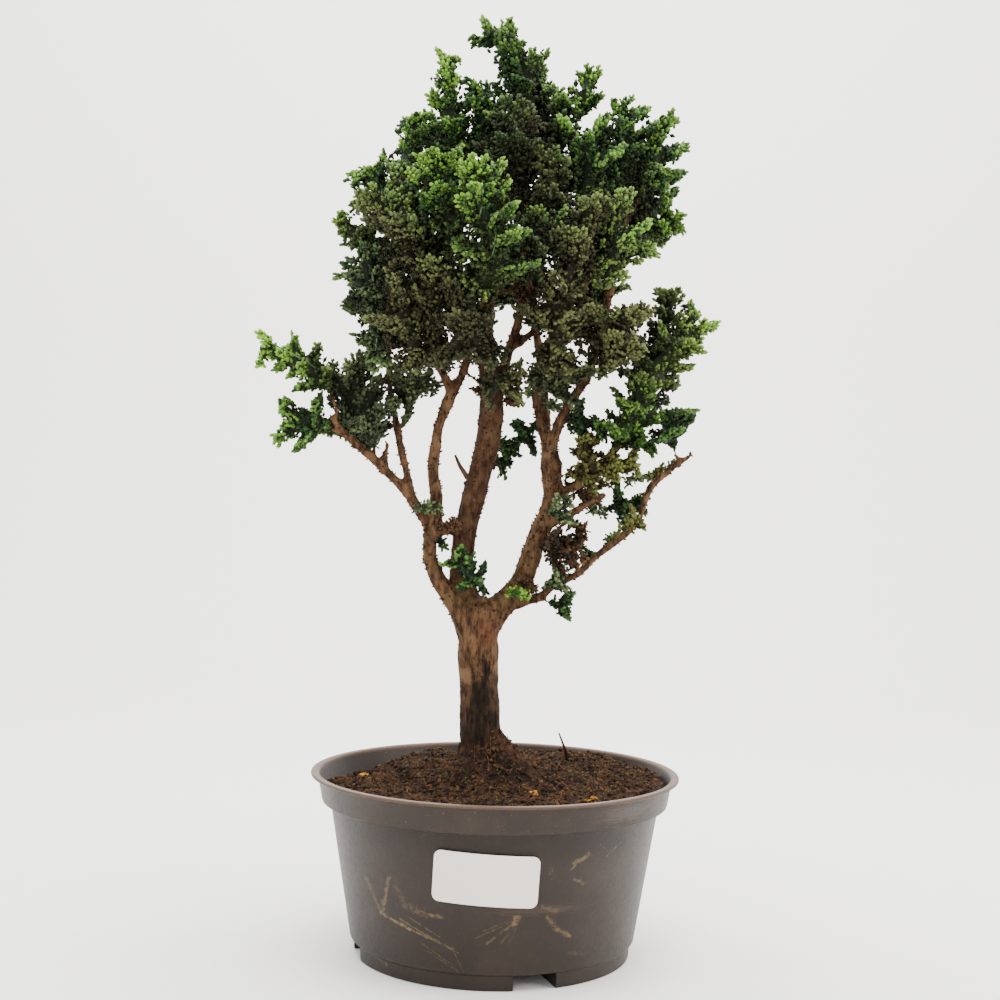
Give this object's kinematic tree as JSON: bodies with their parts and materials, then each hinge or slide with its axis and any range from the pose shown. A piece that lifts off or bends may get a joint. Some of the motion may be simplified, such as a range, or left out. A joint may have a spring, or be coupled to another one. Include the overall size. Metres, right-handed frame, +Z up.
{
  "type": "hinoki cypress bonsai in a nursery pot",
  "caption": "Small hinoki cypress bonsai with a bare forked trunk and a dense crown of lobed evergreen foliage, standing in a low round plastic nursery pot of soil.",
  "frame": {"origin": "middle of the pot's base, on the surface it stands on", "axes": "+Z up along the pot's axis; -Y towards the labelled side, which the picture looks at; +X to the right of that view"},
  "size_m": [0.2319, 0.187, 0.476],
  "materials": {
    "pot_plastic": "matte",
    "label_paper": "satin",
    "soil_peat": "matte",
    "bark": "matte",
    "foliage_blue": "satin",
    "foliage_bronze": "matte",
    "foliage_dead": "matte",
    "foliage_deep": "satin",
    "foliage_fresh": "satin",
    "foliage_green": "satin",
    "foliage_grey": "matte",
    "foliage_olive": "satin"
  },
  "bodies": {
    "root": {"label": "label_paper", "pot": "pot_plastic", "soil": "soil_peat", "spray_back_left_crown": "foliage_deep", "spray_back_left_low": "foliage_green", "spray_back_middle": "foliage_green", "spray_back_right_crown": "foliage_deep", "spray_back_right_low": "foliage_green", "spray_back_sprig": "foliage_deep", "spray_back_top": "foliage_deep", "spray_bronze_centre": "foliage_bronze", "spray_bronze_collar": "foliage_bronze", "spray_bronze_under_left": "foliage_bronze", "spray_centre_right_top": "foliage_green", "spray_centre_top_front": "foliage_bronze", "spray_crotch_tuft": "foliage_green", "spray_dark_hand": "foliage_deep", "spray_dead_clump": "foliage_dead", "spray_far_left_lower": "foliage_green", "spray_far_left_upper": "foliage_fresh", "spray_finger_fan": "foliage_olive", "spray_front_centre": "foliage_green", "spray_front_hanging": "foliage_fresh", "spray_front_left_crest": "foliage_fresh", "spray_hanging_tuft": "foliage_green", "spray_leader_tip": "foliage_green", "spray_left_back": "foliage_green", "spray_left_front": "foliage_bronze", "spray_left_front_low": "foliage_bronze", "spray_left_hanging": "foliage_blue", "spray_left_low_inner": "foliage_grey", "spray_left_low_mass": "foliage_grey", "spray_left_outer": "foliage_fresh", "spray_left_riser_foliage": "foliage_deep", "spray_left_shoulder": "foliage_green", "spray_left_top": "foliage_green", "spray_low_dark": "foliage_deep", "spray_low_tuft": "foliage_grey", "spray_lower_right_frond": "foliage_olive", "spray_pale_sprig": "foliage_grey", "spray_right_arm_fan": "foliage_fresh", "spray_right_arm_top": "foliage_deep", "spray_right_front_inner": "foliage_bronze", "spray_right_front_outer": "foliage_green", "spray_right_inner": "foliage_bronze", "spray_right_low_front": "foliage_bronze", "spray_right_mid_outer": "foliage_fresh", "spray_right_middle_front": "foliage_bronze", "spray_right_round": "foliage_deep", "spray_right_side_back": "foliage_deep", "spray_right_stem_clump": "foliage_grey", "spray_right_top": "foliage_green", "spray_right_top_outer": "foliage_green", "spray_small_top_left": "foliage_green", "spray_small_top_right": "foliage_fresh", "spray_small_upright": "foliage_olive", "spray_top_back": "foliage_deep", "spray_top_shoulder": "foliage_deep", "spray_upper_left_plume": "foliage_fresh", "wood": "bark"}
  },
  "joints": []
}
